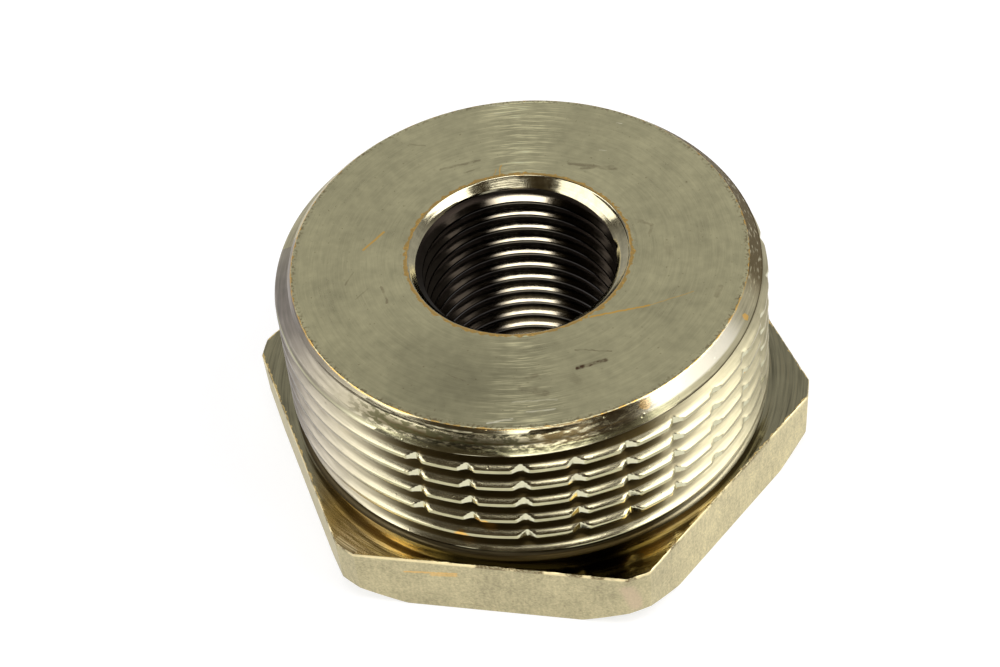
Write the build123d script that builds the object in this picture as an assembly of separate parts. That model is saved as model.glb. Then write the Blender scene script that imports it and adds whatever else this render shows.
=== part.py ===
from build123d import *
import math
import os

# Hex reducing bushing, turned from brass hexagon bar in one piece: a taper pipe thread
# outside, a bore for a smaller parallel pipe thread inside, and a hexagon to turn it by.
# Millimetres. The origin is the centre of the hexagon's end face, which the bushing stands
# on, and +Z runs along the axis towards the threaded end. Two flats face -Y and +Y.

# Hexagon
across_flats = 49.5
hex_height = 7.3
corner_diameter = 55.9  # the six corners are skimmed round in the lathe
corner_chamfer_diameter = 52.2  # where the 45 degree chamfer of the corners meets the end face

# Threaded end
total_height = 24.0
threads_per_inch = 11
gauge_diameter = 47.803  # over the crests, at the gauge plane
gauge_length = 12.7  # from the small end to the gauge plane
diameter_taper = 1 / 16
face_diameter = 43.4
end_chamfer_angle = 45  # between the chamfer and the end face

# Groove of the thread, right-handed, 55 degrees between its flanks
groove_depth = 0.640327 * 25.4 / threads_per_inch
root_flat = 25.4 / threads_per_inch / 6
flank_angle = 27.5
groove_start_height = 8.64  # where the tool is fully in
groove_start_angle = 93  # anticlockwise from +X
run_out_angle = 80  # how far round the tool is drawn out over

# Notches struck across the crests over part of the way round, where sealing fibre gets its hold
notch_count = 17
notch_spacing = 12
first_notch_angle = -105
notch_depth = 0.45
notch_width = 1.4
notch_foot = 10.9
notch_wander = 1.6  # degrees that a notch drifts by, a quarter turn on from the true one
true_notch_angle = -81

# Neck between the thread and the hexagon, with a small round at its foot
neck_diameter = 46.6
neck_height = 0.9
foot_round = 0.6

# Bore, left at the inside diameter of the smaller thread
bore_diameter = 18.63
countersink_diameter = 21.2

# Worked out from the sizes above
pitch = 25.4 / threads_per_inch
gauge_plane = total_height - gauge_length
neck_radius = neck_diameter / 2
neck_top = hex_height + neck_height
cutter_clearance = 0.3
facing_allowance = 1


def crest_radius(z):
    """Radius over the thread's crests at a height above the hexagon's end face."""
    return (gauge_diameter - diameter_taper * (z - gauge_plane)) / 2


def revolved(points):
    """A closed profile of (radius, height) points, turned about the axis."""
    return revolve(make_face(Polyline(*[(r, 0, z) for r, z in points], close=True)), Axis.Z)


def hexagon():
    prism = extrude(RegularPolygon(across_flats / math.sqrt(3), 6), hex_height)
    corner_radius = corner_diameter / 2
    chamfer_radius = corner_chamfer_diameter / 2
    turned = revolved([(0, 0), (chamfer_radius, 0), (corner_radius, corner_radius - chamfer_radius),
                       (corner_radius, hex_height), (0, hex_height)])
    return prism & turned


def turned_blank():
    """The threaded end before its thread is cut, with the neck, left long at the small end."""
    end = total_height + facing_allowance
    round_rise = foot_round * (1 - math.sin(math.radians(45)))
    neck_flank = crest_radius(neck_top) - neck_radius
    return revolved([(0, hex_height), (neck_radius + foot_round, hex_height),
                     (neck_radius + round_rise, hex_height + round_rise),
                     (neck_radius, hex_height + foot_round), (neck_radius, neck_top),
                     (crest_radius(neck_top), neck_top + neck_flank),
                     (crest_radius(end), end), (0, end)])


def cutter_section():
    """The cutter's tip where the groove starts, on the +X side, reaching past the crests."""
    z = groove_start_height
    r = crest_radius(z) - groove_depth
    reach = groove_depth + cutter_clearance
    half_root = root_flat / 2
    half_mouth = half_root + reach * math.tan(math.radians(flank_angle))
    return make_face(Polyline((r, 0, z - half_root), (r + reach, 0, z - half_mouth),
                              (r + reach, 0, z + half_mouth), (r, 0, z + half_root), close=True))


def groove():
    """The helical groove, which climbs right off the small end and narrows with the taper."""
    z = groove_start_height
    r = crest_radius(z) - groove_depth
    climb = total_height + pitch - z
    half_taper = math.degrees(math.atan(diameter_taper / 2))
    path = Helix(pitch, climb, r, center=(0, 0, z), cone_angle=-half_taper)
    return sweep(cutter_section(), path=path, is_frenet=True, clean=False)


def run_out():
    """Below its start the groove gets shallower, as the cutter is drawn out of the work."""
    z = groove_start_height
    r = crest_radius(z) - groove_depth
    drop = pitch * run_out_angle / 360
    lift = groove_depth + cutter_clearance
    draw = math.atan(lift / drop)
    path = Helix(pitch / math.cos(draw), drop, r, center=(0, 0, z), direction=(0, 0, -1),
                 cone_angle=math.degrees(draw))
    half_turn = Rot(0, 0, 180)
    return half_turn * sweep(half_turn * cutter_section(), path=path, is_frenet=True, clean=False)


def facing_cut():
    """What is turned off the small end once it is threaded: its allowance, and the chamfer."""
    over = 3
    drop = over * math.tan(math.radians(end_chamfer_angle))
    face_radius = face_diameter / 2
    return revolved([(0, total_height), (face_radius, total_height),
                     (face_radius + over, total_height - drop),
                     (face_radius + over, total_height + over), (0, total_height + over)])


def threaded_end():
    cut = turned_blank() - groove() - run_out() - facing_cut()
    return Rot(0, 0, groove_start_angle) * cut


def notch(angle):
    """A V cut along the taper from the small end, down to the notch foot."""
    rim = crest_radius(notch_foot)
    half_width = notch_width / 2 * (notch_depth + cutter_clearance) / notch_depth
    section = make_face(Polyline((rim - notch_depth, 0, notch_foot),
                                 (rim + cutter_clearance, half_width, notch_foot),
                                 (rim + cutter_clearance, -half_width, notch_foot), close=True))
    wedge = extrude(section, total_height - notch_foot, dir=(-diameter_taper / 2, 0, 1))
    return Rot(0, 0, angle) * wedge


def notches():
    struck = []
    for k in range(notch_count):
        angle = first_notch_angle + k * notch_spacing
        turn = math.radians(angle - true_notch_angle)
        struck.append(notch(angle + notch_wander * (1 - math.cos(turn))))
    return struck


def bore():
    """A plain hole with a 45 degree countersink at each end."""
    over = 1
    tool_radius = bore_diameter / 2
    wide = countersink_diameter / 2
    deep = wide - tool_radius
    return revolved([(0, -over), (wide + over, -over), (tool_radius, deep),
                     (tool_radius, total_height - deep), (wide + over, total_height + over),
                     (0, total_height + over)])


body = hexagon() + threaded_end()
hex_bushing = body - bore() - notches()

os.makedirs("parts", exist_ok=True)
export_step(hex_bushing, "parts/hex_bushing.step")
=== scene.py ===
import math
import bmesh
import bpy
import numpy as np
from mathutils import Matrix, Quaternion, Vector


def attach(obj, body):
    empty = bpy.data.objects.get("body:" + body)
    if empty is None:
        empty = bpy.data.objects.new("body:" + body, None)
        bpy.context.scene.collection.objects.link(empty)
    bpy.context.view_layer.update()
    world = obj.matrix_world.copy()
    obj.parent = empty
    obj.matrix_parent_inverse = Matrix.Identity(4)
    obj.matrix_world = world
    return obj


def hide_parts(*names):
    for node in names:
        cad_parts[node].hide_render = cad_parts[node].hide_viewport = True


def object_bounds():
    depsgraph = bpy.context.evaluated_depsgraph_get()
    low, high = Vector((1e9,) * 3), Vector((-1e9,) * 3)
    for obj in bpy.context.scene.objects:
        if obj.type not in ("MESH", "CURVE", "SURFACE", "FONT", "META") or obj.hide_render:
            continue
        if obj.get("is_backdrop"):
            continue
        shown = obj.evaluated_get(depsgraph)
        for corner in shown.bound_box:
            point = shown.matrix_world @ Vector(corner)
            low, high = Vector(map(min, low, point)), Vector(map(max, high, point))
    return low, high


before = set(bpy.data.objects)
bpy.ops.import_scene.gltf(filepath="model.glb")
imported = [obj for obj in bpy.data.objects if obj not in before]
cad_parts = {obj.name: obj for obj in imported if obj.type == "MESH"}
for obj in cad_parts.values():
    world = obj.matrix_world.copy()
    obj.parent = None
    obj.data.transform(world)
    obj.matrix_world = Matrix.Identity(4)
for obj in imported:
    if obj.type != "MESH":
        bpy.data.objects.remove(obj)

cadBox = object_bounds()
mm = 0.001                      # sizes in the dictionaries are millimetres, and angles degrees

hexagon = {
    "acrossFlats": 49.5,
    "height": 7.3,
    "cornerRadius": 27.95,      # the corners are skimmed round
    "footRadius": 26.1,         # where the chamfer of the corners meets the end face
    "edgeBreak": 0.07,
    "chip": 0.16,               # how far the top edge is knocked back at its worst
    "seed": 4,
    "stepRings": (0, 0.2, 0.5, 0.8, 1),         # shares of the way out across the step
    "flatRings": (6.85, 5.2, 3.4),              # heights of the rings down the flats
    "footRing": 0.2,            # how far above the chamfer the last of them lies
    "underRings": (0.03, 0.3, 0.6),             # shares of the way in below
}

outerThread = {
    "pitch": 25.4 / 11,
    "depth": 0.640327 * 25.4 / 11,
    "gaugeRadius": 47.803 / 2,
    "gaugeHeight": 11.3,
    "taper": 1 / 32,            # on the radius
    "crestHeight": 22.50,       # of the top crest, at the azimuth below
    "crestAzimuth": -85.0,
    "grooveStart": 8.603,       # height of the groove where the tool is fully in
    "startAzimuth": 93.0,
    "runOut": 80.0,
    "low": 7.95,
    "high": 23.86,
    # distance from the middle of a crest and depth below it, on one side of it
    "form": [(0.13, 0.0), (0.20, 0.03), (0.26, 0.115), (0.37, 0.33),
             (0.48, 0.55), (0.62, 0.82), (0.90, 1.375), (1.02, 1.479)],
}

notches = {
    "count": 17,
    "spacing": 12.0,
    "first": -105.0,
    "true": -81.0,              # where the spacing hasn't drifted
    "wander": 1.6,              # the drift a quarter turn on from there
    "depth": 0.58,
    "shallow": 0.26,            # past the azimuths below they are struck less hard
    "lighter": (-52.0, -18.0),
    "halfWidth": 0.88,
    "round": 0.06,
    "foot": 10.2,               # none reach below this height
    "top": 21.5,                # nor above this, where the first crest is torn
    "missing": 2,               # the first of them miss the lowest crest
    "missingFoot": 11.9,
    "fade": 0.2,
    "columns": [0.18, 0.6, 1.2, 1.8, 2.15, 3.0, 4.4],   # where the mesh is cut beside a notch
}

endFace = {
    "height": 24.0,
    "radius": 21.7,
    "chamfer": 45.0,
    # radii and heights round the worn edge of the face, from the chamfer in
    "edge": [(21.79, 23.91), (21.75, 23.945), (21.71, 23.975), (21.66, 23.993), (21.58, 24.0)],
    "rings": (21.3, 18.6, 16.0, 13.3, 11.2),
    "sinkRadius": 10.6,         # of both countersinks, where they meet the end faces
    # radii and depths round their worn edges, and the radius where they begin
    "sinkEdge": [(10.74, 0.0), (10.66, 0.012), (10.60, 0.03), (10.56, 0.045)],
    "sinkStart": 10.5,
}

neck = {
    "radius": 23.3,
    "height": 0.9,
    "fillet": 0.6,
    "filletSteps": 4,
}

innerThread = {
    "pitch": 25.4 / 14,
    "depth": 1.162,
    "crestRadius": 9.315,
    "crestHeight": 21.46,       # on the far wall
    "crestAzimuth": 98.0,
    "low": 0.1,
    "high": 23.9,
    "form": [(0.10, 0.0), (0.16, 0.03), (0.42, 0.53), (0.70, 1.07), (0.79, 1.145)],
}

columnCount = 480
boreStep = 3                    # outer columns to each column in the bore
seam = -85.5                    # azimuth of the first even column
snapReach = 0.03                # rows this near to a thread's end are held on it
weldReach = 0.0008
sharpFlats, sharpTurned = 24, 30        # edges bent more than this are shaded sharp
faceFinish, threadFinish, stepFinish, flatFinish, boreFinish = range(5)


def smooth(t):
    t = np.clip(t, 0, 1)
    return t * t * (3 - 2 * t)


def wander(azimuth):
    return notches["wander"] * (1 - np.cos(np.radians(azimuth - notches["true"])))


def threadColumns():
    # columns crowd at each notch, and drift round with the notches
    half, spacing = notches["columns"], notches["spacing"]
    steps = sorted([-a for a in half] + [0.0] + half + [spacing / 2])
    places = range(columnCount // len(steps))
    a = np.array([notches["true"] + spacing * k + s for k in places for s in steps])
    return a + wander(a)


def evenColumns():
    return seam + np.arange(columnCount) * 360 / columnCount


def hexColumns():
    # even columns, with one moved onto each edge of the skimmed corners
    a = evenColumns()
    half = math.degrees(math.acos(hexagon["acrossFlats"] / 2 / hexagon["cornerRadius"]))
    for k in range(-2, 8):
        for edge in (-90 + 60 * k - half, -90 + 60 * k + half):
            i = int(np.argmin(np.abs(a - edge)))
            if abs(a[i] - edge) < 0.5:
                a[i] = edge
    return a


def crestRadius(z):
    t = outerThread
    return t["gaugeRadius"] - t["taper"] * (z - t["gaugeHeight"])


def depthAt(thread, azimuth, z):
    # how deep the thread's form is at a point
    pitch = thread["pitch"]
    turns = (z - thread["crestHeight"]) / pitch - (azimuth - thread["crestAzimuth"]) / 360
    x = np.abs((turns + 0.5) % 1 - 0.5) * pitch
    xs = [0] + [p[0] for p in thread["form"]] + [pitch / 2]
    ds = [0] + [p[1] for p in thread["form"]] + [thread["depth"]]
    return np.interp(x, xs, ds)


def outerSurface(azimuth, z):
    t = outerThread
    crest = crestRadius(z)
    depth = depthAt(t, azimuth, z)
    # the tool is drawn out over the last part of a turn
    turn = (azimuth - t["startAzimuth"]) / 360
    behind = np.round((z - t["grooveStart"]) / t["pitch"] - turn) + turn
    withdrawn = np.clip(-behind * 360 / t["runOut"], 0, 1)
    r = crest - np.clip(depth - withdrawn * t["depth"], 0, None)
    # the notches, cut straight down across the crests
    n = notches
    turned = azimuth - wander(azimuth) - n["first"] + n["spacing"] / 2
    off = (turned % 360) / n["spacing"] - 0.5
    struck = np.round(off) < n["count"]
    across = np.radians((off - np.round(off)) * n["spacing"]) * crest
    vee = np.sqrt(across ** 2 + n["round"] ** 2) - n["round"]
    start, end = n["lighter"]
    easing = smooth((off * n["spacing"] + n["first"] - start) / (end - start))
    deepest = n["depth"] + (n["shallow"] - n["depth"]) * easing
    cut = np.clip(deepest * (1 - vee / (n["halfWidth"] - n["round"])), 0, None)
    lowest = np.where(np.round(off) < n["missing"], n["missingFoot"], n["foot"])
    cut = cut * smooth((z - lowest) / n["fade"]) * smooth((n["top"] - z) / n["fade"]) * struck
    r = np.minimum(r, crest - cut)
    # the neck, and the chamfer towards the end face
    foot = hexagon["height"] + neck["height"]
    r = np.minimum(r, neck["radius"] + np.clip(z - foot, 0, None))
    slope = math.tan(math.radians(endFace["chamfer"]))
    return np.minimum(r, endFace["radius"] + (endFace["height"] - z) / slope)


def innerSurface(azimuth, z):
    r = innerThread["crestRadius"] + depthAt(innerThread, azimuth, z)
    sink = endFace["sinkRadius"]
    return np.maximum(r, np.maximum(sink - (endFace["height"] - z), sink - z))


class Shell:
    # gathers rings and spirals of points, which are welded where they meet
    def __init__(self):
        self.points = []
        self.faces = []
        self.finish = []
        self.count = 0

    def add(self, points, faces, finish):
        self.points.append(points)
        self.faces += [tuple(i + self.count for i in f) for f in faces]
        self.finish += [finish] * len(faces)
        self.count += len(points)

    def rings(self, rows, finish):
        # each row is azimuths, radii and heights round one closed ring
        points = []
        for azimuths, radii, heights in rows:
            a = np.radians(azimuths)
            r = np.broadcast_to(radii, a.shape)
            z = np.broadcast_to(heights, a.shape)
            points.append(np.stack([r * np.cos(a), r * np.sin(a), z], 1))
        n = len(points[0])
        faces = [(k * n + i, k * n + (i + 1) % n, (k + 1) * n + (i + 1) % n, (k + 1) * n + i)
                 for k in range(len(rows) - 1) for i in range(n)]
        self.add(np.concatenate(points), faces, finish)

    def spiral(self, thread, azimuths, surface, finish):
        # rows follow the helix; past the ends they are held on the end rings, to be welded
        pitch, low, high = thread["pitch"], thread["low"], thread["high"]
        side = thread["form"]
        offsets = [-x for x, d in reversed(side)] + [x for x, d in side] + [pitch / 2]
        m, n = len(offsets), len(azimuths)
        base = thread["crestHeight"] + pitch * (azimuths - thread["crestAzimuth"]) / 360
        first = math.floor((low - base[0]) / pitch) - 2
        last = math.ceil((high - base[0]) / pitch) + 1
        z = np.array([base + pitch * q + x for q in range(first, last + 1) for x in offsets])
        z = np.where(z < low + snapReach, low, z)
        z = np.where(z > high - snapReach, high, z)
        a = np.broadcast_to(azimuths, z.shape)
        r = surface(a, z)
        a = np.radians(a)
        points = np.stack([r * np.cos(a), r * np.sin(a), z], 2).reshape(-1, 3)
        heights = z.reshape(-1)
        faces = []
        for k in range(len(z) - 1):
            for i in range(n):
                if i < n - 1:
                    face = (k * n + i, k * n + i + 1, (k + 1) * n + i + 1, (k + 1) * n + i)
                elif k + m + 1 < len(z):
                    face = (k * n + i, (k + m) * n, (k + m + 1) * n, (k + 1) * n + i)
                else:
                    continue
                hs = [heights[v] for v in face]
                if min(hs) < high and max(hs) > low:
                    faces.append(face)
        self.add(points, faces, finish)

    def fan(self, wide, close, finish):
        # a ring of columns to a ring with one column for every three
        n = len(wide[0])
        rows = []
        for azimuths, r, z in (wide, close):
            a = np.radians(azimuths)
            rows.append(np.stack([r * np.cos(a), r * np.sin(a), np.full(len(a), z)], 1))
        faces = []
        for j in range(n // boreStep):
            o = boreStep * j
            p, q = n + j, n + (j + 1) % (n // boreStep)
            faces += [(o, o + 1, p), (o + 1, o + 2, q, p), (o + 2, (o + 3) % n, q)]
        self.add(np.concatenate(rows), faces, finish)

    def mesh(self, name):
        me = bpy.data.meshes.new(name)
        bm = bmesh.new()
        verts = [bm.verts.new(p * mm) for p in np.concatenate(self.points)]
        for f, finish in zip(self.faces, self.finish):
            face = bm.faces.new([verts[i] for i in f])
            face.material_index = finish
            face.smooth = True
        bmesh.ops.remove_doubles(bm, verts=bm.verts, dist=weldReach * mm)
        loose = [v for v in bm.verts if not v.link_faces]
        bmesh.ops.delete(bm, geom=loose, context="VERTS")
        bmesh.ops.recalc_face_normals(bm, faces=bm.faces)
        openEdges = [e for e in bm.edges if len(e.link_faces) != 2]
        print("mesh", name, len(bm.verts), "points,", len(bm.faces), "faces,",
              sum(len(f.verts) - 2 for f in bm.faces), "triangles,", len(openEdges), "open edges")
        for e in bm.edges:
            if len(e.link_faces) == 2:
                a, b = e.link_faces
                byFlats = flatFinish in (a.material_index, b.material_index)
                limit = math.radians(sharpFlats if byFlats else sharpTurned)
                e.smooth = a.normal.angle(b.normal, 0) < limit
        bm.to_mesh(me)
        bm.free()
        return me


def hexOutline(azimuths):
    a = (azimuths + 90) % 60
    a = np.where(a > 30, a - 60, a)
    flat = hexagon["acrossFlats"] / 2 / np.cos(np.radians(a))
    return np.minimum(flat, hexagon["cornerRadius"])


def makeBushing():
    shell = Shell()
    around, even, bar = threadColumns(), evenColumns(), hexColumns()
    bore = even[::boreStep]
    shell.spiral(outerThread, around, outerSurface, threadFinish)
    # chamfer, worn edge and end face, down to the countersink
    top = endFace["height"]
    high = outerThread["high"]
    lip = outerSurface(around, np.full(columnCount, high))
    edge = [(around, r, z) for r, z in endFace["edge"]]
    shell.rings([(around, lip, high)] + edge[:2], threadFinish)
    rim, halfway, *within = endFace["rings"]
    sink = endFace["sinkEdge"]
    rows = edge[1:] + [(around, rim, top), ((around + even) / 2, halfway, top)]
    rows += [(even, r, top) for r in within] + [(even, r, top - d) for r, d in sink[:2]]
    shell.rings(rows, faceFinish)
    # the bore with its two countersinks
    brink, depth = sink[-1]
    start = endFace["sinkStart"]
    shell.rings([(even, r, top - d) for r, d in sink[1:]], boreFinish)
    shell.fan((even, brink, top - depth), (bore, start, innerThread["high"]), boreFinish)
    shell.spiral(innerThread, bore, innerSurface, boreFinish)
    shell.fan((even, brink, depth), (bore, start, innerThread["low"]), boreFinish)
    shell.rings([(even, r, d) for r, d in sink[1:]], boreFinish)
    # neck and fillet
    h, f, steps = hexagon["height"], neck["fillet"], neck["filletSteps"]
    rows = [(around, neck["radius"], outerThread["low"])]
    for k in range(steps + 1):
        part = k / steps
        angle = math.radians(90 * part)
        rows.append((around * (1 - part) + bar * part,
                     neck["radius"] + f * (1 - math.cos(angle)), h + f * (1 - math.sin(angle))))
    shell.rings(rows, threadFinish)
    # step, with its outer edge chipped
    outline = hexOutline(bar)
    rng = np.random.default_rng(hexagon["seed"])
    knocks = np.clip(rng.normal(0, 1, columnCount + 4), 0, 2) / 2
    chips = np.convolve(knocks, [0.25, 0.5, 0.25], "same")[2:-2]
    edge = hexagon["edgeBreak"] + hexagon["chip"] * chips ** 1.5
    inner = neck["radius"] + f
    rows = [(bar, inner + (outline - edge - inner) * t, h) for t in hexagon["stepRings"]]
    shell.rings(rows, stepFinish)
    # flats, and the chamfer of the corners below
    low = np.minimum(outline - hexagon["edgeBreak"], hexagon["footRadius"])
    rise = outline - low
    rows = [(bar, outline - edge, h), (bar, outline - edge * 0.3, h - edge * 0.3)]
    rows += [(bar, outline, z) for z in (h - edge, *hexagon["flatRings"])]
    rows += [(bar, outline, rise + hexagon["footRing"]), (bar, outline, rise), (bar, low, 0.0)]
    shell.rings(rows, flatFinish)
    # underside
    mouth = sink[0][0]
    rows = [(bar, low, 0.0)]
    for t in hexagon["underRings"]:
        rows.append((bar * (1 - t) + even * t, low + (mouth - low) * t, 0.0))
    shell.rings(rows + [(even, r, d) for r, d in sink[:2]], faceFinish)
    return shell.mesh("bushing")


bushing = bpy.data.objects.new("bushing", makeBushing())
bpy.context.scene.collection.objects.link(bushing)


class Socket:
    # a node's output that arithmetic can be written with
    def __init__(self, paint, link):
        self.paint = paint
        self.link = link

    def math(self, operation, *others):
        return self.paint.node("ShaderNodeMath", {"operation": operation}, [self, *others])

    def __add__(self, other):
        return self.math("ADD", other)

    def __sub__(self, other):
        return self.math("SUBTRACT", other)

    def __mul__(self, other):
        return self.math("MULTIPLY", other)

    def __pow__(self, other):
        return self.math("POWER", other)

    __radd__ = __add__
    __rmul__ = __mul__

    def __rsub__(self, other):
        return self.paint.node("ShaderNodeMath", {"operation": "SUBTRACT"}, [other, self])

    def size(self):
        return self.math("ABSOLUTE")

    def most(self, other):
        return self.math("MAXIMUM", other)

    def ramp(self, low, high):
        # 0 below low, 1 above high, smooth between
        return self.paint.node("ShaderNodeMapRange", {"interpolation_type": "SMOOTHSTEP"},
                               {"Value": self, "From Min": low, "From Max": high})

    def under(self, limit, blur):
        return (limit - self).ramp(0.0, blur)

    def near(self, middle, reach):
        return (self - middle).size().under(reach, reach)

    def outlet(self, key):
        return Socket(self.paint, self.link.node.outputs[key])


class Paint:
    def __init__(self, name):
        self.begin(bpy.data.materials.new(name), "ShaderNodeOutputMaterial")

    def begin(self, owner, kind):
        owner.use_nodes = True
        self.owner = owner
        self.tree = owner.node_tree
        self.tree.nodes.clear()
        self.end = self.tree.nodes.new(kind)

    def node(self, kind, settings, inputs, output=0):
        made = self.tree.nodes.new(kind)
        for key, value in settings.items():
            setattr(made, key, value)
        for key, value in inputs.items() if isinstance(inputs, dict) else enumerate(inputs):
            socket = made.inputs[key]
            if isinstance(value, Socket):
                self.tree.links.new(value.link, socket)
            elif isinstance(value, tuple) and len(value) < len(socket.default_value):
                socket.default_value = (*value, 1)
            else:
                socket.default_value = value
        return Socket(self, made.outputs[output])

    def finish(self, shader):
        self.tree.links.new(shader.link, self.end.inputs["Surface"])
        return self.owner

    def mix(self, mask, a, b):
        return self.node("ShaderNodeMix", {"data_type": "RGBA"}, {0: mask, 6: a, 7: b}, 2)

    def shade(self, colour, amount):
        return self.node("ShaderNodeVectorMath", {"operation": "SCALE"},
                         {0: colour, "Scale": amount})

    def split(self, vector):
        first = self.node("ShaderNodeSeparateXYZ", {}, [vector])
        return first, first.outlet(1), first.outlet(2)

    def place(self):
        # where the point is on the piece, in millimetres
        coords = self.node("ShaderNodeTexCoord", {}, {}, "Object")
        return self.split(self.shade(coords, 1 / mm))

    def polar(self, x, y):
        # distance from the axis, and azimuth in degrees
        return (x * x + y * y) ** 0.5, y.math("ARCTAN2", x) * (180 / math.pi)

    def scaled(self, x, y, z, fineness):
        # fineness across the axis, and along the third direction
        across, along = fineness
        return self.node("ShaderNodeCombineXYZ", {}, [x * across, y * across, z * along])

    def noise(self, x, y, z, fineness, detail):
        return self.node("ShaderNodeTexNoise", {},
                         {"Vector": self.scaled(x, y, z, fineness), "Scale": 1.0, "Detail": detail})

    def dots(self, x, y, z, fineness):
        # distance to the nearest of a scatter of points
        return self.node("ShaderNodeTexVoronoi", {},
                         {"Vector": self.scaled(x, y, z, fineness), "Scale": 1.0})

    def stroke(self, x, y, start, end, width):
        # 1 along a line from start to end, 0 beyond its width
        dx, dy = end[0] - start[0], end[1] - start[1]
        length = math.hypot(dx, dy)
        along = (x - start[0]) * (dx / length) + (y - start[1]) * (dy / length)
        across = (x - start[0]) * (dy / length) - (y - start[1]) * (dx / length)
        past = (along - length / 2).size().most(length / 2) - length / 2
        return ((across * across + past * past) ** 0.5).under(width, width * 0.7)

    def strokes(self, x, y, lines):
        # each line is its start and end, half its width, and how strong it is
        mask = None
        for start, end, width, strength in lines:
            one = self.stroke(x, y, start, end, width) * strength
            mask = one if mask is None else mask.most(one)
        return mask

    def metal(self, colour, roughness, height, reach, anisotropic=0.0):
        bump = self.node("ShaderNodeBump", {}, {"Distance": reach * mm, "Height": height})
        return self.finish(self.node("ShaderNodeBsdfPrincipled", {},
                                     {"Base Color": colour, "Roughness": roughness,
                                      "Metallic": 1.0, "Anisotropic": anisotropic,
                                      "Normal": bump}))


nickel = (0.565, 0.525, 0.320)
brass = (0.86, 0.50, 0.10)
dullBrass = (0.56, 0.35, 0.10)
grime = (0.16, 0.11, 0.05)

faceMarks = {
    "coarse": (0.14, 3.2),      # fineness of the lathe marks, round and out from the axis
    "fine": (0.5, 11.0),
    "cloud": (0.22, 1.0),
    "ragged": (1.3, 1.0),
    "blotch": (0.9, 1.0),
    "pits": (3.0, 1.0),
    "gaps": (1.1, 1.0),
    "fans": [(98.0, 17.0), (-80.0, 15.0)],      # azimuth and reach of each bright fan
    "fanLift": 1.1,
    # azimuth and reach, then radius and reach, of the tarnished patch
    "tarnish": (-98.0, 48.0, 17.0, 8.0),
    "tarnished": 0.36,
    "sink": 10.66,              # the plating is worn off beside these two edges
    "rim": 21.80,
    "innerWear": 0.24,
    "outerWear": 0.20,
    "rough": 0.30,
    "anisotropic": 0.5,
    "marks": 0.004,             # depth of the lathe marks
    "waver": 0.5,               # how far the strokes wander
    "gold": [((-14.9, -1.2), (-13.4, 1.4), 0.17, 0.8), ((8.0, -7.7), (13.1, -5.8), 0.15, 0.9),
             ((13.1, -5.8), (16.9, -3.7), 0.09, 0.4), ((-3.5, 10.2), (-3.6, 11.6), 0.12, 0.7),
             ((-4.1, 10.3), (-4.0, 11.1), 0.09, 0.5)],
    "stain": (0.10, 0.06, 0.035),
    "dark": [((7.6, -14.0), (10.0, -12.8), 0.31, 1.0), ((7.2, -11.8), (10.4, -11.7), 0.10, 0.5),
             ((3.1, 12.5), (7.7, 12.1), 0.30, 0.45), ((4.4, 11.9), (7.5, 12.5), 0.20, 0.4),
             ((-9.5, 10.6), (-5.9, 12.2), 0.22, 0.4), ((-7.1, 10.3), (-5.7, 11.1), 0.16, 0.4),
             ((-12.1, -5.8), (-11.1, -7.7), 0.18, 0.45), ((-15.6, -5.9), (-15.2, -4.2), 0.12, 0.35),
             ((-14.2, -7.6), (-13.3, -6.1), 0.12, 0.3), ((3.0, -16.8), (5.2, -17.2), 0.55, 0.36),
             ((7.3, -14.9), (7.9, -15.6), 0.50, 0.2), ((3.4, -15.6), (4.1, -15.2), 0.40, 0.35),
             ((10.6, 5.2), (12.2, 4.6), 0.22, 0.3), ((12.2, 4.6), (12.1, 3.4), 0.20, 0.3),
             ((13.7, 2.4), (14.5, 0.6), 0.5, 0.14), ((19.1, -4.1), (19.4, -2.8), 0.35, 0.3),
             ((-13.4, 14.0), (-11.8, 13.9), 0.16, 0.25), ((-4.0, -15.8), (-2.2, -16.6), 0.09, 0.3)],
    "glint": (1.0, 0.95, 0.72),
    "bright": [((0.7, -21.1), (2.8, -20.4), 0.16, 0.9), ((3.9, -19.5), (6.3, -18.9), 0.12, 0.6),
               ((2.5, -18.5), (6.4, -17.8), 0.10, 0.35), ((7.0, 18.8), (7.5, 18.8), 0.10, 0.8),
               ((5.8, 14.7), (6.5, 14.7), 0.09, 0.5), ((-6.4, 20.4), (-4.4, 20.6), 0.10, 0.5),
               ((-5.6, 19.3), (-3.9, 19.5), 0.10, 0.45)],
}


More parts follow.
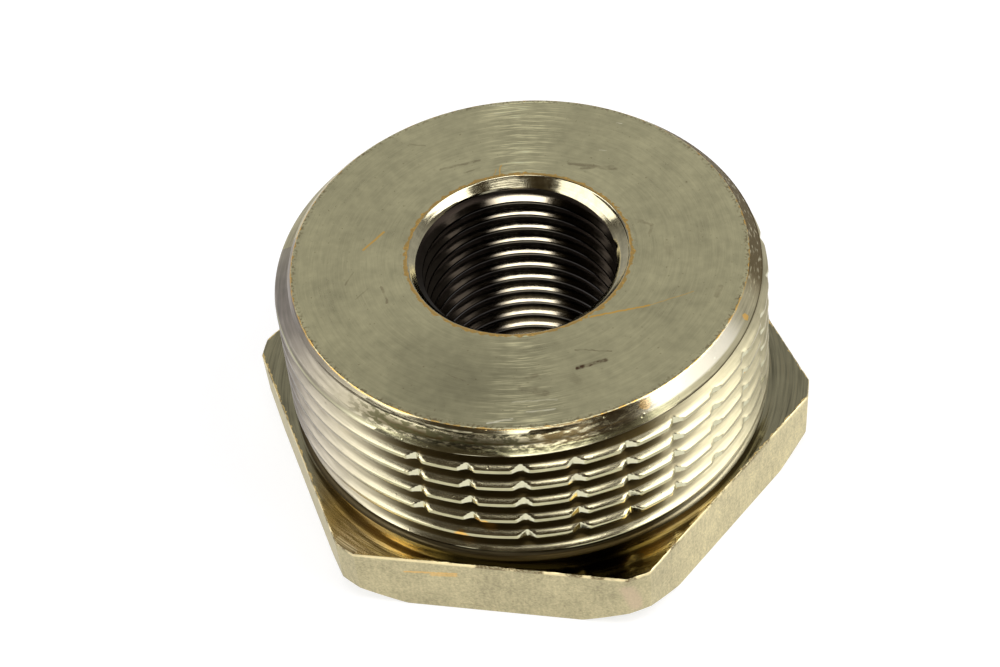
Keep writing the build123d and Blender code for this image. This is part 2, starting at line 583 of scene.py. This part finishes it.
def paintFace():
    s = faceMarks
    p = Paint("turned_face")
    x, y, z = p.place()
    r, turn = p.polar(x, y)
    upper = z.ramp(12.0, 13.0)          # the marks below aren't on the underside
    coarse = p.noise(x, y, r, s["coarse"], 3.0)
    fine = p.noise(x, y, r, s["fine"], 2.0)
    cloud = p.noise(x, y, z, s["cloud"], 4.0)
    ragged = p.noise(x, y, z, s["ragged"], 3.0)
    blotch = p.noise(x, y, z + 5.0, s["blotch"], 5.0)
    pit = p.noise(x, y, 3.0, s["pits"], 3.0)
    level = 0.97 + 0.24 * (coarse - 0.5) + 0.26 * (fine - 0.5)
    level = level + 0.5 * (cloud - 0.5) + 0.45 * (blotch - 0.5)
    # the marks catch the light along two fans, and one patch is tarnished
    first, second = (turn.near(*fan) for fan in s["fans"])
    marks = ((coarse + fine) * 0.5).ramp(0.47, 0.66)
    level = level + s["fanLift"] * first.most(second) * upper * marks
    azimuth, wide, radius, reach = s["tarnish"]
    dulled = turn.near(azimuth, wide) * r.near(radius, reach) * upper
    level = level * (1 - s["tarnished"] * dulled)
    colour = p.shade(nickel, level)
    colour = p.mix(pit.ramp(0.66, 0.74) * 0.45, colour, grime)
    # smears, a little faded along their length
    bend = s["waver"] * (ragged - 0.5)
    wobbly = x + bend, y + bend
    gaps = p.noise(x, y, 7.0, s["gaps"], 4.0).ramp(0.38, 0.58)
    dark = p.strokes(*wobbly, s["dark"]) * (0.35 + 0.65 * gaps) * upper
    colour = p.mix(dark, colour, s["stain"])
    # the plating is worn to brass round both edges, and chipped at the outer one
    inner = (r - s["sink"]).under(s["innerWear"] * (ragged * 4.4 - 1.0), 0.07)
    outer = (s["rim"] - r).under(s["outerWear"] * (ragged * 4.4 - 1.6), 0.07) * upper
    chips = r.ramp(21.1, 21.6) * pit.ramp(0.50, 0.60) * upper
    colour = p.mix(chips * 0.6, colour, grime)
    patchy = p.mix(pit.ramp(0.52, 0.68), dullBrass, brass)
    colour = p.mix(inner.most(outer) * 0.9, colour, patchy)
    gold = p.strokes(*wobbly, s["gold"]) * upper
    colour = p.mix(gold, colour, brass)
    bright = p.strokes(*wobbly, s["bright"]) * fine.ramp(0.35, 0.55) * upper
    colour = p.mix(bright, colour, s["glint"])
    rough = s["rough"] + 0.10 * (cloud - 0.5) + 0.08 * (coarse - 0.5) + 0.25 * dark
    height = 0.6 * coarse + 0.4 * fine - 0.8 * dark - 0.5 * gold
    return p.metal(colour, rough, height, s["marks"], s["anisotropic"])


threadMarks = {
    "drag": (0.25, 9.0),        # fineness of the tool's marks, across and along the axis
    "cloud": (0.5, 0.5),
    "speck": (3.2, 3.2),
    "flake": (1.2, 6.0),
    "nicks": (1.5, 1.5),
    "base": (0.50, 0.455, 0.30),
    "greyShadedLeft": (0.30, 0.27, 0.24),         # the left is greyer, and darkened as painted shade, at this azimuth and reach
    "greyShadedSide": (-158.0, 62.0),
    "crest": (0.47, 0.445, 0.265),
    "crestHalf": 0.26,                  # half the width of a crest's flat
    "flank": 1.96,                      # how deep a flank goes for each millimetre along
    "struck": (0.66, 0.64, 0.44),       # the walls of the notches: struck metal, lightened as a painted highlight
    "struckFrom": 10.2,
    "struckTo": 22.4,
    "groove": (0.050, 0.034, 0.010),    # grime and painted shade in the bottom of the groove
    "front": (-80.0, 56.0),             # where most of the grime and painted shade lies
    "top": 23.4,                        # the threads end here
    # azimuth, height, width and height of each place worn to the brass
    "gold": [(-90.5, 12.9, 0.9, 0.50), (-95.8, 10.8, 0.8, 0.45), (-19.5, 17.6, 0.6, 0.6),
             (-128.0, 19.5, 0.8, 0.3), (-50.5, 23.55, 0.9, 0.40), (-14.2, 23.1, 0.45, 0.30)],
    # the band below the end face: azimuth and reach, blur, where it starts, and its colour
    "torn": (-92.0, 46.0, 0.6, 22.3, 22.7, (0.07, 0.065, 0.03)),
    # a painted highlight on the chamfer
    "chamferHighlight": (-34.0, 24.0, 0.6, 22.9, 23.1, (0.95, 0.90, 0.74)),
    "smear": (-66.0, 17.0, 0.5, 22.5, 22.9, (0.11, 0.075, 0.030)),
    "burr": (28.0, 46.0, 0.35, 22.3, 22.8, (0.12, 0.088, 0.040)),
    "tornTo": 23.75,
    "rough": 0.16,
    "sideRough": 0.22,                  # added away from the front
    "marks": 0.008,
}


def paintThread():
    s = threadMarks
    t = outerThread
    p = Paint("cut_thread")
    x, y, z = p.place()
    r, turn = p.polar(x, y)
    drag = p.noise(x, y, z, s["drag"], 3.0)
    cloud = p.noise(x, y, z, s["cloud"], 3.0)
    speck = p.noise(x, y, z, s["speck"], 3.0)
    flake = p.noise(x, y, z, s["flake"], 4.0)
    # the left side is greyer, and darkened as painted shade
    base = p.mix(turn.near(*s["greyShadedSide"]), s["base"], s["greyShadedLeft"])
    base = p.shade(base, 1.0 + 0.9 * (drag - 0.5) + 0.5 * (cloud - 0.5))
    # how far along the axis from the middle of the nearest crest, and how deep
    lap = (z - t["crestHeight"]) * (1 / t["pitch"]) - (turn - t["crestAzimuth"]) * (1 / 360)
    above = ((lap + 0.5).math("FRACT") - 0.5) * t["pitch"]
    away = above.size()
    depth = (t["gaugeRadius"] + t["taper"] * t["gaugeHeight"]) - t["taper"] * z - r
    threaded = z.under(s["top"], 0.4)
    front = turn.near(*s["front"]).ramp(0.0, 0.55)
    # crests, and what was struck out of them below the form
    onCrest = away.under(s["crestHalf"], 0.08) * threaded * front
    base = p.mix(onCrest, base, p.shade(s["crest"], 0.7 + 0.6 * cloud))
    extra = depth - (away - 0.20).most(0.0) * s["flank"]
    cut = extra.ramp(0.04, 0.12) * z.ramp(s["struckFrom"], s["struckFrom"] + 0.4)
    cut = cut * z.under(s["struckTo"], 0.2)
    # the notch walls are lightened: struck metal with a painted highlight
    base = p.mix(cut, base, s["struck"])
    # painted shade and grime lie in the groove, most of them towards the front
    dirtAndShade = above.ramp(0.34, 0.52) * (0.14 + 0.84 * front)
    dirtAndShade = dirtAndShade.most((0 - above).ramp(0.22, 0.34) * 0.92) * threaded * (1 - cut)
    colour = p.mix(dirtAndShade, base, s["groove"])
    worn = None
    for azimuth, height, wide, tall in s["gold"]:
        across = (turn - azimuth) * (23.5 * math.pi / 180 / wide)
        along = (z - height) * (1 / tall)
        one = (across ** 2 + along ** 2 + 1.6 * (speck - 0.5)).under(0.9, 0.5)
        worn = one if worn is None else worn.most(one)
    edge = (r - 21.75).under(0.14 * (cloud * 2 - 0.5), 0.05) * z.ramp(23.7, 23.85)
    colour = p.mix(worn.most(edge * 0.7) * 0.85, colour, brass)

    def band(name):
        azimuth, reach, blur, low, high, tone = s[name]
        return turn.near(azimuth, reach).ramp(0.0, blur) * z.ramp(low, high), tone

    torn, tone = band("torn")
    torn = torn * z.under(s["tornTo"], 0.2)
    colour = p.mix(torn * flake.ramp(0.44, 0.56) * 0.9, colour, tone)
    # painted highlight: a near-white band on the chamfer
    chamferHighlight, tone = band("chamferHighlight")
    colour = p.mix(chamferHighlight, colour, tone)
    smear, tone = band("smear")
    colour = p.mix(smear * flake.ramp(0.34, 0.54) * 0.8, colour, tone)
    burr, tone = band("burr")
    burr = burr * flake.ramp(0.26, 0.48)
    colour = p.mix(burr * 0.92, colour, tone)
    rough = s["rough"] + 0.15 * torn * speck + 0.15 * dirtAndShade + 0.10 * (cloud - 0.5)
    rough = rough + s["sideRough"] * (1 - front) + 0.3 * burr
    nick = p.dots(x, y, z, s["nicks"]).under(0.20, 0.18) * cloud.ramp(0.45, 0.60)
    height = 0.35 * drag + 0.30 * speck + 2.0 * torn * flake + 1.4 * nick
    return p.metal(colour, rough, height, s["marks"])


stepMarks = {
    "broad": (0.05, 1.7),       # fineness of the lathe marks, round and out from the axis
    "fine": (0.2, 7.0),
    "cloud": (0.4, 1.0),
    "ragged": (1.6, 1.0),
    "base": (0.56, 0.40, 0.13),
    "browned": (-84.0, 66.0),   # azimuth and reach of that brown
    "plated": (0.30, 0.275, 0.175),
    "gleam": (1.0, 0.80, 0.44),
    "lit": [(-115.0, 15.0), (-44.0, 14.0)],     # where the marks gleam
    "shadedFront": (-80.0, 34.0),     # painted shade: the step is darkened here, at this azimuth and reach
    "edge": (0.90, 0.68, 0.30),
    "edgeWear": 0.30,
    "rough": 0.12,
    "marks": 0.012,
}


def hexEdge(x, y):
    # how far inside the flats a point is
    reach = y.size()
    for k in (-1, 1):
        reach = reach.most((x * 0.8660 + y * (0.5 * k)).size())
    return hexagon["acrossFlats"] / 2 - reach


def paintStep():
    s = stepMarks
    p = Paint("turned_step")
    x, y, z = p.place()
    r, turn = p.polar(x, y)
    broad = p.noise(x, y, r, s["broad"], 2.0)
    fine = p.noise(x, y, r, s["fine"], 2.0)
    cloud = p.noise(x, y, z, s["cloud"], 3.0)
    ragged = p.noise(x, y, z, s["ragged"], 3.0)
    colour = p.mix(turn.near(*s["browned"]).ramp(0.0, 0.3), s["plated"], s["base"])
    level = 1.0 + 0.8 * (broad - 0.5) + 1.4 * (fine - 0.5) + 0.5 * (cloud - 0.5)
    colour = p.shade(colour, level)
    colour = p.mix(fine.ramp(0.55, 0.75) * 0.4, colour, grime)
    for azimuth, reach in s["lit"]:
        lit = turn.near(azimuth, reach).ramp(0.0, 0.8) * (0.35 + 0.65 * fine.ramp(0.40, 0.56))
        colour = p.mix(lit, colour, s["gleam"])
    worn = hexEdge(x, y).under(s["edgeWear"] * (ragged * 2.4 - 0.6), 0.06)
    colour = p.mix(worn, colour, s["edge"])
    # painted shade: the front of the step is darkened almost to black
    colour = p.shade(colour, 1 - 0.95 * turn.near(*s["shadedFront"]).ramp(0.0, 0.50))
    rough = s["rough"] + 0.10 * (cloud - 0.5) + 0.15 * worn
    return p.metal(colour, rough, broad + 0.35 * fine, s["marks"])


flatMarks = {
    "grain": (4.5, 4.5),        # fineness across and along the axis
    "cloud": (0.35, 0.35),
    "drawn": (2.5, 0.5),
    "pits": (2.2, 2.2),
    "base": (0.50, 0.445, 0.268),
    "rightSideLight": 0.30,           # painted light: the flats on the right are lighter
    "front": -24.0,             # the strokes are only on the flat beyond this
    # along the front flat and up it
    "gold": [((-8.2, 5.3), (-3.2, 5.7), 0.20, 0.55), ((-5.6, 5.2), (-3.3, 5.4), 0.30, 0.45)],
    "dark": [((-6.6, 2.1), (-4.9, 1.9), 0.10, 0.35), ((-3.2, 0.9), (-1.0, 0.7), 0.10, 0.4)],
    "stain": [((12.9, 5.6), (13.8, 2.8), 1.0, 0.5)],
    "pink": (0.66, 0.50, 0.36),
    "chip": (0.95, 0.80, 0.45),
    "rough": 0.50,
    "depth": 0.012,             # of the grain
}


def paintFlats():
    s = flatMarks
    p = Paint("drawn_flat")
    x, y, z = p.place()
    grain = p.noise(x, y, z, s["grain"], 3.0)
    cloud = p.noise(x, y, z, s["cloud"], 3.0)
    drawn = p.noise(x, y, z, s["drawn"], 2.0)
    level = 1.0 + 0.95 * (grain - 0.5) + 0.5 * (cloud - 0.5) + 0.4 * (drawn - 0.5)
    colour = p.shade(s["base"], level)
    # painted light: the flats towards the right are lightened
    colour = p.shade(colour, 1.0 + s["rightSideLight"] * x.ramp(13.0, 20.0))
    front = y.under(s["front"], 0.2)
    bend = 0.3 * (grain - 0.5)
    colour = p.mix(p.strokes(x, z, s["stain"]) * front, colour, s["pink"])
    colour = p.mix(p.strokes(x, z + bend, s["gold"]) * front, colour, brass)
    dark = p.strokes(x + bend, z + bend, s["dark"]) * front
    colour = p.mix(dark * grain.ramp(0.3, 0.6), colour, grime)
    # the top edge is chipped to bright brass here and there, and dirty between
    chipped = z.ramp(6.90, 7.10) * cloud.ramp(0.36, 0.56)
    colour = p.mix(chipped * 0.8, colour, s["chip"])
    dirty = z.ramp(6.86, 7.06) * cloud.under(0.50, 0.06) * grain.ramp(0.40, 0.55)
    colour = p.mix(dirty * 0.8, colour, grime)
    pit = p.noise(x, y, z, s["pits"], 2.0).ramp(0.70, 0.78)
    colour = p.mix(pit * 0.4, colour, grime)
    rough = s["rough"] - 0.2 * chipped + 0.1 * (grain - 0.5)
    return p.metal(colour, rough, grain - pit, s["depth"])


boreMarks = {
    "drag": (0.3, 8.0),         # fineness of the tool's marks, across and along the axis
    "streak": (1.5, 0.3),
    "ragged": (1.5, 1.0),
    "cone": (0.44, 0.40, 0.27),
    "thread": (0.40, 0.35, 0.26),
    "shadedSides": (0.020, 0.016, 0.012),     # painted shade: dark but for the wall towards the back
    "clean": (97.0, 29.0),
    "dirtAndShade": (0.02, 0.015, 0.012),
    "coneFoot": 22.75,
    "sink": 10.70,
    "edgeWear": 0.10,
    "rough": 0.13,
    "marks": 0.006,
}


def paintBore():
    s = boreMarks
    p = Paint("bore_thread")
    x, y, z = p.place()
    r, turn = p.polar(x, y)
    drag = p.noise(x, y, z, s["drag"], 3.0)
    streak = p.noise(x, y, z, s["streak"], 3.0)
    ragged = p.noise(x, y, z, s["ragged"], 3.0)
    inside = z.under(s["coneFoot"], 0.15)
    # painted shade darkens the bore but for the wall towards the back
    clean = turn.near(*s["clean"]).ramp(0.0, 0.7)
    colour = p.mix(inside, s["cone"], p.mix(clean, s["shadedSides"], s["thread"]))
    colour = p.shade(colour, 1.0 + 0.5 * (drag - 0.5) + 0.7 * (streak - 0.5))
    # painted shade and grime fill the groove, and the crests are darkened
    dirtAndShade = r.ramp(9.75, 10.1) * inside
    crest = r.under(9.38, 0.08) * inside
    colour = p.mix((dirtAndShade * 0.9).most(crest * 0.6), colour, s["dirtAndShade"])
    worn = (s["sink"] - r).under(s["edgeWear"] * (ragged * 3.0 - 0.4), 0.06)
    colour = p.mix(worn * 0.85, colour, brass)
    rough = s["rough"] + 0.12 * (streak - 0.5) + 0.2 * dirtAndShade
    return p.metal(colour, rough, drag + 0.5 * streak, s["marks"])


for paint in (paintFace, paintThread, paintStep, paintFlats, paintBore):
    bushing.data.materials.append(paint())
print("painted", len(bushing.data.materials), "finishes")

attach(bushing, "root")
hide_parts("hex_bushing")

table = {
    "reach": 1200.0,
    "tone": (0.42, 0.40, 0.41),
    "lift": (0.675, 0.69, 0.69),        # added where the camera or a reflection sees it
}


def makeFloor():
    s = table["reach"] * mm
    mesh = bpy.data.meshes.new("floor")
    mesh.from_pydata([(-s, -s, 0), (s, -s, 0), (s, s, 0), (-s, s, 0)], [], [(0, 1, 2, 3)])
    floor = bpy.data.objects.new("floor", mesh)
    bpy.context.scene.collection.objects.link(floor)
    p = Paint("table")
    direct = p.node("ShaderNodeLightPath", {}, {}, "Is Camera Ray")
    seen = direct + direct.outlet("Is Glossy Ray") + direct.outlet("Is Transmission Ray")
    diffuse = p.node("ShaderNodeBsdfDiffuse", {}, {"Color": table["tone"]})
    lift = p.node("ShaderNodeEmission", {}, {"Color": table["lift"], "Strength": seen})
    mesh.materials.append(p.finish(p.node("ShaderNodeAddShader", {}, [diffuse, lift])))
    return floor


makeFloor()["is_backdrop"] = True
print("table laid")

view = {
    "location": (29.2014, -123.5674, 151.4732),
    "aim": (-2.7246, 0.0832, 12.0),
    "roll": 6.6303,
    "lens": 68.26,
    "sensor": 36,
    "clipStart": 10.0,
}


def makeCamera():
    place = Vector(view["location"]) * mm
    back = (place - Vector(view["aim"]) * mm).normalized()
    forward = -back
    up = (Vector((0, 0, 1)) - forward * forward.z).normalized()
    right = forward.cross(up)
    roll = math.radians(view["roll"])
    tilted = up * math.cos(roll) + right * math.sin(roll)
    turn = Matrix((forward.cross(tilted), tilted, back)).transposed()
    data = bpy.data.cameras.new("camera")
    data.lens = view["lens"]
    data.sensor_width = view["sensor"]
    data.clip_start = view["clipStart"] * mm
    camera = bpy.data.objects.new("camera", data)
    camera.matrix_world = Matrix.Translation(place) @ turn.to_4x4()
    bpy.context.scene.collection.objects.link(camera)
    bpy.context.scene.camera = camera


makeCamera()
print("camera set")

# direction, width and height in metres, brightness and twist of each soft box
boxDistance = 0.8
boxes = {
    "boxOver": ((0.04, -0.12, 0.99), 0.38, 0.26, 4.6, -28.0),
    "boxFront": ((0.22, -0.70, 0.67), 0.38, 0.16, 3.6, 0.0),
    "boxLeft": ((-0.74, -0.23, 0.63), 0.72, 0.42, 3.2, 0.0),
    "boxRight": ((0.67, -0.02, 0.74), 0.56, 0.44, 4.4, 0.0),
}


def makeBox(name, way, wide, high, bright, twist):
    data = bpy.data.lights.new(name, "AREA")
    data.shape = "RECTANGLE"
    data.size = wide
    data.size_y = high
    data.energy = bright * wide * high * math.pi
    lamp = bpy.data.objects.new(name, data)
    lamp.location = Vector(way).normalized() * boxDistance
    turn = (-lamp.location).to_track_quat("-Z", "Y")
    lamp.rotation_euler = (turn @ Quaternion((0, 0, 1), math.radians(twist))).to_euler()
    bpy.context.scene.collection.objects.link(lamp)


for name, box in boxes.items():
    makeBox(name, *box)
print("hung", len(boxes), "soft boxes")

room = {
    "dark": (0.060, 0.044, 0.022),      # overhead and towards the front
    "back": (0.52, 0.52, 0.52),
    "low": 0.22,                # how much white is added near the horizon
    "floor": (0.9, 0.9, 0.9),
    "white": (1.0, 1.0, 1.0),
}


class Room(Paint):
    def __init__(self):
        world = bpy.data.worlds.new("room")
        bpy.context.scene.world = world
        self.begin(world, "ShaderNodeOutputWorld")

    def paint(self):
        x, y, z = self.split(self.node("ShaderNodeTexCoord", {}, {}, "Generated"))
        colour = self.mix(y.ramp(0.05, 0.60), room["dark"], room["back"])
        colour = self.mix(z.under(0.40, 0.30) * room["low"], colour, room["white"])
        colour = self.mix(z.under(0.02, 0.05), colour, room["floor"])
        direct = self.node("ShaderNodeLightPath", {}, {}, "Is Camera Ray")
        colour = self.mix(direct, colour, room["white"])
        self.finish(self.node("ShaderNodeBackground", {}, {"Color": colour}))


Room().paint()
bpy.context.scene.view_settings.view_transform = "Standard"
print("room lit")

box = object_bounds()
sizes = {"cad": [list(v) for v in cadBox], "visual": [list(v) for v in box]}
